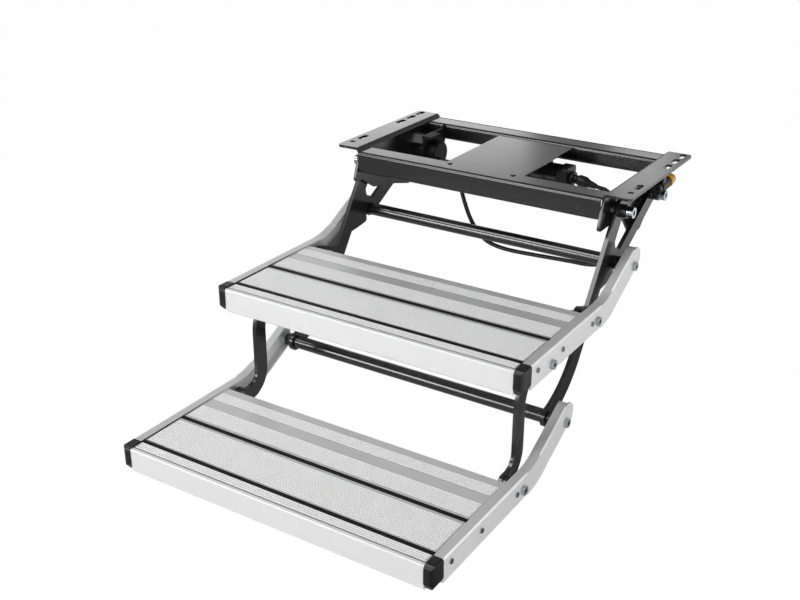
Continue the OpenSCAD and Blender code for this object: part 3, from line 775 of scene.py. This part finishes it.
@dataclass
class Studio:
    """Camera, lamps, surroundings and floor.

    The room fades from its horizon to its ceiling between two heights. The floor's painted reflection, a
    glow that only glossy surfaces see, is the sum of ramps along X: from, to, and the strength at both.
    """

    eye: Point = (0.9383, -1.7407, 0.6194)
    aim: Point = (0.08674, -0.41335, -0.09192)
    lens_mm: float = 50.54
    sensor_mm: float = 36.0
    sight: float = 100.0
    lamps: tuple[Lamp, ...] = LAMPS
    horizon: str = "#c8c8c8"
    ceiling: str = "#707072"
    fade: Pair = (0.05, 0.75)
    floor_z: float = -0.60
    floor_reach: float = 30.0
    paper: str = "#f0f0f0"
    white_share: float = 0.985
    # Ramps of the floor's painted reflection along X
    reflection_ramps: tuple[tuple[float, ...], tuple[float, ...]] = ((0.15, 0.4, 0.38, 0.12), (0.64, 0.8, 0.0, 1.05))

    def camera(self) -> None:
        """Sets up the camera."""
        data = bpy.data.cameras.new("camera")
        data.lens = self.lens_mm
        data.sensor_width = self.sensor_mm
        data.clip_end = self.sight
        camera = linked("camera", data)
        camera.location = self.eye
        camera.rotation_euler = facing(self.eye, self.aim)
        bpy.context.scene.camera = camera

    def surroundings(self) -> None:
        """Fades the room from a pale horizon to a dim ceiling, and shows the camera plain white."""
        world = bpy.data.worlds.new("studio")
        bpy.context.scene.world = world
        world.use_nodes = True
        tree = world.node_tree
        tree.nodes.clear()
        way = add_node(tree, "ShaderNodeTexCoord").outputs["Generated"]
        height = add_node(tree, "ShaderNodeSeparateXYZ", {0: way}).outputs["Z"]
        low, high = self.fade
        dim = add_node(tree, "ShaderNodeMapRange", {"Value": height, "From Min": low, "From Max": high})
        room = add_node(
            tree,
            "ShaderNodeMix",
            {
                Blend.SHARE: dim.outputs[0],
                Blend.FIRST: linear(self.horizon),
                Blend.SECOND: linear(self.ceiling),
            },
            data_type="RGBA",
        ).outputs[Blend.RESULT]
        seen = add_node(tree, "ShaderNodeLightPath").outputs["Is Camera Ray"]
        colour = add_node(
            tree,
            "ShaderNodeMix",
            {Blend.SHARE: seen, Blend.FIRST: room, Blend.SECOND: WHITE},
            data_type="RGBA",
        ).outputs[Blend.RESULT]
        shade = add_node(tree, "ShaderNodeBackground", {"Color": colour, "Strength": 1.0})
        add_node(tree, "ShaderNodeOutputWorld", {"Surface": shade.outputs[0]})

    def floor_paper(self) -> bpy.types.Material:
        """Makes the floor's paper, nearly white to the camera so that only a soft shadow shows, and glowing
        for glossy rays as a painted reflection whose strength follows X.

        Returns:
            The material.
        """
        material = bpy.data.materials.new("floor_paper")
        material.use_nodes = True
        tree = material.node_tree
        tree.nodes.clear()
        paper = add_node(tree, "ShaderNodeBsdfDiffuse", {"Color": linear(self.paper)})
        glow = add_node(tree, "ShaderNodeEmission", {"Color": WHITE, "Strength": 1.0})
        path = add_node(tree, "ShaderNodeLightPath").outputs
        share = add_node(
            tree, "ShaderNodeMath", {0: path["Is Camera Ray"], 1: self.white_share}, operation="MULTIPLY"
        )
        seen = add_node(
            tree, "ShaderNodeMixShader", {0: share.outputs[0], 1: paper.outputs[0], 2: glow.outputs[0]}
        )
        place = add_node(tree, "ShaderNodeTexCoord").outputs["Object"]
        across = add_node(tree, "ShaderNodeSeparateXYZ", {0: place}).outputs["X"]
        # The painted reflection: a glow that only glossy rays see, its strength following X
        near, far = (
            add_node(
                tree,
                "ShaderNodeMapRange",
                {"Value": across, "From Min": start, "From Max": end, "To Min": first, "To Max": last},
            ).outputs[0]
            for start, end, first, last in self.reflection_ramps
        )
        painted_reflection = add_node(tree, "ShaderNodeMath", {0: near, 1: far}, operation="ADD")
        mirrored = add_node(tree, "ShaderNodeEmission", {"Color": WHITE, "Strength": painted_reflection.outputs[0]})
        mixed = add_node(
            tree,
            "ShaderNodeMixShader",
            {0: path["Is Glossy Ray"], 1: seen.outputs[0], 2: mirrored.outputs[0]},
        )
        add_node(tree, "ShaderNodeOutputMaterial", {"Surface": mixed.outputs[0]})
        return material

    def floor(self) -> None:
        """Lays a wide pale floor."""
        mesh = bpy.data.meshes.new("floor")
        reach = self.floor_reach
        corners = [(-reach, -reach), (reach, -reach), (reach, reach), (-reach, reach)]
        mesh.from_pydata([(x, y, self.floor_z) for x, y in corners], [], [(0, 1, 2, 3)])
        mesh.materials.append(self.floor_paper())
        floor = linked("floor", mesh)

    def build(self) -> None:
        """Makes the whole stage."""
        bpy.context.scene.view_settings.view_transform = "Standard"
        self.camera()
        for lamp in self.lamps:
            lamp.hang()
        self.surroundings()
        self.floor()


# The step


@dataclass
class MotorLead:
    """The lead that hangs in a loop from the control unit's boot to the motor's gland."""

    diameter: float = 8.0
    sides: int = 16
    steps: int = 4
    points: tuple[Point, ...] = (
        (153.6, 174, -62.04),
        (163.15, 174, -63.72),
        (173, 174, -65.46),
        (195, 154, -68),
        (216, 124, -71),
        (230, 94, -75),
        (238, 70, -86),
        (241, 57, -106),
        (240, 50, -128),
        (234, 46, -148),
        (221, 43, -161),
        (198, 43, -166),
        (168, 43, -167),
        (125, 43, -169),
        (82, 43, -171),
        (46, 43, -172),
        (16, 43, -170),
        (-7, 43, -164),
        (-24, 43, -152),
        (-39, 43, -135),
        (-49, 43, -118),
        (-57, 43, -99),
        (-65, 45, -81),
        (-76, 58, -69),
        (-92, 86, -65),
        (-112, 122, -64),
        (-134, 150, -64),
        (-156, 164, -64),
        (-166, 164, -64),
        (-175.7, 164, -64),
    )

    def line(self) -> list[Vector]:
        """Runs a smooth curve through the lead's points.

        Returns:
            The centre line from the boot to the gland, in metres.
        """
        knots = [Vector(p) * MM for p in self.points]
        found = []
        for i in range(len(knots) - 1):
            p, q = knots[max(i - 1, 0)], knots[i]
            r, s = knots[i + 1], knots[min(i + 2, len(knots) - 1)]
            for k in range(self.steps):
                t = k / self.steps
                bend = (2 * p - 5 * q + 4 * r - s) * t**2 + (3 * q - p - 3 * r + s) * t**3
                found.append(0.5 * (2 * q + (r - p) * t + bend))
        return found + [knots[-1]]

    def sheath(self, line: list[Vector]) -> bpy.types.Mesh:
        """Sweeps the round sheath along its centre line.

        Args:
            line: The centre line.

        Returns:
            The mesh, closed at both ends.
        """
        turns = [math.tau * k / self.sides for k in range(self.sides)]
        reach = self.diameter / 2 * MM
        side = Vector((0, 0, 1))
        rows = []
        for i, at in enumerate(line):
            ahead = (line[min(i + 1, len(line) - 1)] - line[max(i - 1, 0)]).normalized()
            side = (side - ahead * side.dot(ahead)).normalized()
            other = ahead.cross(side)
            rows.append([at + reach * (side * math.cos(a) + other * math.sin(a)) for a in turns])
        return lofted("motor_lead_sheath", rows)

    def build(self) -> None:
        line = self.line()
        piece = placed(self.sheath(line), "motor_lead_sheath", Body.FRAME, SHEATH, "motor_lead")
        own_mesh(piece)


@dataclass
class Group:
    """Solids that move together, each with its finish and edge rounding, and some with a fold radius."""

    body: Body
    solids: dict[str, tuple[Finish, float]]
    fold_radius: dict[str, float] = field(default_factory=dict)

    def dress(self, nodes: dict[str, bpy.types.Object]) -> dict[str, bpy.types.Object]:
        """Eases each solid's edges and gives it its finish.

        Args:
            nodes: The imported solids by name.

        Returns:
            The finished pieces by the same names.
        """
        pieces = {}
        for name, (finish, rounding) in self.solids.items():
            mesh = eased(nodes[name].data, rounding * MM, self.fold_radius.get(name, 0.0) * MM)
            pieces[name] = placed(mesh, f"{name}_finished", self.body, finish, name)
        return pieces


@dataclass(frozen=True)
class Zone:
    """A part of the board's surface: behind its front, above its top and facing up by at least so much."""

    finish: Finish
    behind: Pair
    above: Pair
    upward: float

    def holds(self, face: bpy.types.MeshPolygon, corner: Vector) -> bool:
        """Tells whether a face lies in the zone.

        Args:
            face: The face.
            corner: Where the board's front and top would meet, in metres.

        Returns:
            True inside the zone.
        """
        place = (face.center - corner) / MM
        inside = self.behind[0] < place.y < self.behind[1] and self.above[0] < place.z < self.above[1]
        return inside and face.normal.z > self.upward


@dataclass
class Tread:
    """A tread: its board with pressed teeth, grip strips, rails, caps and fasteners.

    Places along and above the tread are measured from the front strip's middle, at the top of the board.
    """

    name: str
    body: Body
    at: Pair
    # The board's section
    board_half: float = 281.5
    front: float = 31.0
    back: float = 213.0
    nosing: float = 43.0
    nose_r: float = 3.0
    nose_steps: int = 8
    groove: tuple[Pair, ...] = ((7.0, 0.0), (7.8, -1.0), (8.8, -1.0), (9.6, 0.0))
    foot: float = 14.0
    skin: float = 3.0
    strip: float = 8.3
    strip_deep: float = 2.4
    strip_gap: float = 93.5
    boss: float = 8.0
    lip: float = 22.0
    front_port: Pair = (14.0, -13.0)
    rear_port: Pair = (103.0, -15.0)
    port_half: float = 5.0
    front_ridge: float = 36.0
    rear_ridge: float = 150.0
    ridge_deep: float = 9.0
    board_rounding: float = 0.3
    # Painted shade on the plain tops, in the nosing's groove and on the nose
    zones: tuple[Zone, ...] = (
        Zone(TOP_PAINTED_SHADE, behind=(9.2, 300.0), above=(-1.5, 1.0), upward=0.95),
        Zone(GROOVE_PAINTED_SHADE, behind=(6.8, 9.8), above=(-1.5, -0.15), upward=0.1),
        Zone(NOSE_PAINTED_SHADE, behind=(-1.0, 3.2), above=(-3.2, 1.0), upward=0.2),
    )
    # The teeth: bands by where each starts and its rows
    rib_pitch: float = 4.45
    notch_pitch: float = 2.4
    tooth: Point = (2.33, 4.35, 0.8)
    tooth_radii: Pair = (0.5, 0.707)
    tooth_margin: float = 2.0
    bands: tuple[tuple[float, int], ...] = ((-22.0, 4), (7.0, 17), (102.7, 9), (168.2, 6))
    # The rails and their bolts
    rail_fold: float = 2.4
    rail_level: float = 0.5
    rail_lean: float = 0.1
    rail_side: float = 0.99
    pivots: tuple[Pair, ...] = ((65.0, -25.0), (238.0, -20.0), (389.0, 27.0))
    head_end: float = 304.8
    socket_r: float = 4.7
    socket_deep: Pair = (0.2, 3.5)

    def outline(self) -> list[Pair]:
        """Draws the extrusion's section without its teeth.

        Returns:
            Its corners as (y, z).
        """
        s, f, r = self.skin, self.front, self.nose_r
        found = [(-f, r - self.nosing)]
        for i in range(self.nose_steps + 1):
            a = math.radians(180 - 90 * i / self.nose_steps)
            found.append((r - f + r * math.cos(a), -r + r * math.sin(a)))
        found += [(y - f, z) for y, z in self.groove]
        half, deep = self.strip / 2, -self.strip_deep
        for y in (0.0, self.strip_gap):
            found += [(y - half, 0), (y - half, deep), (y + half, deep), (y + half, 0)]
        found += [(self.back, 0), (self.back, -self.lip), (self.back - s, -self.lip), (self.back - s, -s)]
        found += self.ridge(self.rear_ridge)
        found += self.strip_boss(self.strip_gap, self.rear_port)
        found += self.ridge(self.front_ridge)
        found += self.strip_boss(0.0, self.front_port)
        low = -self.nosing
        found += [(s - f, -s), (s - f, s + low), (self.foot - f, s + low), (self.foot - f, low)]
        return found + [(r - f, low)]

    def ridge(self, y: float) -> list[Pair]:
        """Draws a stiffening ridge under the board, from the rear edge forward.

        Args:
            y: The ridge's front face.

        Returns:
            Its corners.
        """
        s = self.skin
        low = -s - self.ridge_deep
        return [(y + s, -s), (y + s, low), (y, low), (y, -s)]

    def strip_boss(self, y: float, port: Pair) -> list[Pair]:
        """Draws the thick skin under a grip strip with the screw port behind it.

        Args:
            y: Middle of the strip.
            port: Middle of the screw port.

        Returns:
            Its corners.
        """
        s, h = self.skin, self.port_half
        deep = -s - self.strip_deep
        low = port[1] - h
        return [
            (port[0] + h, -s),
            (port[0] + h, low),
            (port[0] - h, low),
            (port[0] - h, deep),
            (y - self.boss, deep),
            (y - self.boss, -s),
        ]

    def spot(self, x: float, y: float, z: float) -> Vector:
        """Turns a point of the tread, in mm, into the frame's metres."""
        return Vector((x, self.at[0] + y, self.at[1] + z)) * MM

    def board(self) -> None:
        """Makes the extruded board, with painted shade on its plain tops, its groove and its nose."""
        ends = (-self.board_half, self.board_half)
        mesh = lofted("board", [[self.spot(x, y, z) for y, z in self.outline()] for x in ends])
        name = f"{self.name}_board"
        extrusion = eased(mesh, self.board_rounding * MM)
        piece = placed(extrusion, f"{name}_extrusion", self.body, BOARD_ALUMINIUM, name)
        corner = self.spot(0, -self.front, 0)
        for zone in self.zones:
            two_tone(piece, zone.finish, lambda face: zone.holds(face, corner))

    def teeth(self) -> None:
        """Presses the rows of small teeth into the board's ribs."""
        tree, known = tooth_tree()
        columns = int(2 * (self.board_half - self.tooth_margin) / self.notch_pitch)
        joined = bmesh.new()
        for start, rows in self.bands:
            holder = linked("band", bpy.data.meshes.new("band"))
            change = holder.modifiers.new("teeth", "NODES")
            change.node_group = tree
            values = {
                "Columns": columns,
                "Rows": rows,
                "Length": (columns - 1) * self.notch_pitch * MM,
                "Depth": (rows - 1) * self.rib_pitch * MM,
                "Top Radius": self.tooth_radii[0],
                "Foot Radius": self.tooth_radii[1],
                "Tooth Size": Vector(self.tooth) * MM,
                "Place": self.spot(0, start + self.rib_pitch * rows / 2, 0),
                "Material": TOOTH_ALUMINIUM.material(),
            }
            for key, value in values.items():
                change[known[key]] = value
            band = baked(holder)
            joined.from_mesh(band)
            bpy.data.meshes.remove(band)
        mesh = bpy.data.meshes.new("teeth")
        joined.to_mesh(mesh)
        joined.free()
        placed(mesh, f"{self.name}_board_teeth", self.body, TOOTH_ALUMINIUM)

    def in_socket(self, face: bpy.types.MeshPolygon) -> bool:
        """Tells whether a face of the pivot bolts lies inside a hexagon socket.

        Args:
            face: The face.

        Returns:
            True inside a socket.
        """
        depth = self.head_end - abs(face.center.x) / MM
        if not self.socket_deep[0] < depth < self.socket_deep[1]:
            return False
        axes = [self.spot(0, y, z).yz for y, z in self.pivots]
        return any((face.center.yz - axis).length < self.socket_r * MM for axis in axes)

    def on_rail_top(self, face: bpy.types.MeshPolygon) -> bool:
        """Tells whether a face is on a rail's flat top."""
        return face.normal.z > self.rail_level and abs(face.normal.x) < self.rail_lean

    def on_rail_edge(self, face: bpy.types.MeshPolygon) -> bool:
        """Tells whether a face is on a rail's rounded upper corner."""
        return face.normal.z > self.rail_lean and self.rail_lean < abs(face.normal.x) < self.rail_side

    def build(self, nodes: dict[str, bpy.types.Object]) -> None:
        """Makes and dresses the tread.

        Args:
            nodes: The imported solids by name.
        """
        self.board()
        self.teeth()
        rails = [f"{self.name}_rail_{side}" for side in SIDES]
        bolts = f"{self.name}_pivot_bolts"
        pieces = Group(
            self.body,
            {
                f"{self.name}_grip_strips": (GRIP_RUBBER, 0.4),
                **{rail: (RAIL_ALUMINIUM, 0.6) for rail in rails},
                f"{self.name}_end_caps": (MOULDED_PLASTIC, 1.5),
                f"{self.name}_rail_screws": (STAINLESS, 0.4),
                bolts: (BOLT_PLATE, 0.6),
            },
            {rail: self.rail_fold for rail in rails},
        ).dress(nodes)
        # Painted shade in the pivot bolts' sockets
        two_tone(pieces[bolts], SOCKET_PAINTED_SHADE, self.in_socket)
        for rail in rails:
            # Painted shade on each rail's flat top
            two_tone(pieces[rail], TOP_PAINTED_SHADE, self.on_rail_top)
            # A painted highlight along each rail's rounded upper corner
            two_tone(pieces[rail], EDGE_PAINTED_HIGHLIGHT, self.on_rail_edge)


def steel(*names: str, rounding: float = 0.6) -> dict[str, tuple[Finish, float]]:
    """Lists black steel solids with one edge rounding.

    Args:
        *names: The solids.
        rounding: Edge rounding in mm.

    Returns:
        Finish and rounding for each.
    """
    return {name: (POWDER_COAT, rounding) for name in names}


def groups() -> list[Group]:
    """Lists every group whose solids keep their own shape.

    Returns:
        The fixed frame, then the groups that swing.
    """
    zinc = (ZINC_PLATE, 0.5)
    enamel = (MOTOR_ENAMEL, 0.6)
    tube = (TUBE_COAT, 0.8)
    return [
        Group(
            Body.FRAME,
            {
                **steel("side_bracket_left", "side_bracket_right", "front_cross_rail", "rear_cross_rail"),
                **steel("shaft_bush", "control_unit", "unit_saddle"),
                "gear_mount": enamel,
                "gear_case": enamel,
                "drive_motor": enamel,
                **steel("cover_plate", rounding=0.4),
                **steel("cover_screws", rounding=0.5),
                "gear_bolts": zinc,
                "control_end_cap": (MOULDED_PLASTIC, 1.2),
                "lead_gland": (SHEATH, 0.5),
                "lead_boot": (SHEATH, 0.8),
                "supply_plug": (MOULDED_PLASTIC, 0.8),
                "supply_plug_cap": (YELLOW_ABS, 0.8),
                "front_pivot_bolts": zinc,
                "rear_pivot_bolt": zinc,
                "arm_washers": zinc,
            },
            {
                "side_bracket_left": 2.0,
                "side_bracket_right": 2.0,
                "front_cross_rail": 4.0,
                "rear_cross_rail": 3.0,
            },
        ),
        Group(
            Body.REAR_ARMS,
            {
                **steel("rear_arm_left", "rear_arm_right", rounding=0.8),
                "upper_cross_rod": tube,
                "drive_shaft": zinc,
            },
        ),
        Group(
            Body.LONG_ARMS,
            {**steel("long_arm_left", "long_arm_right", rounding=0.8), "lower_cross_rod": tube},
        ),
        Group(Body.LINK_LEFT, steel("front_link_left", rounding=0.8)),
        Group(Body.LINK_RIGHT, steel("front_link_right", rounding=0.8)),
    ]


def main() -> None:
    """Builds the stage, then the step, piece by piece."""
    logging.basicConfig(level=logging.INFO, format="%(name)s: %(message)s")
    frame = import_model()
    nodes = frame["nodes"]
    Studio().build()
    MotorLead().build()
    for group in groups():
        group.dress(nodes)
    Tread("upper", Body.UPPER_TREAD, (-372.0, -165.0)).build(nodes)
    Tread("lower", Body.LOWER_TREAD, (-625.0, -357.0)).build(nodes)


if __name__ == "__main__":
    main()
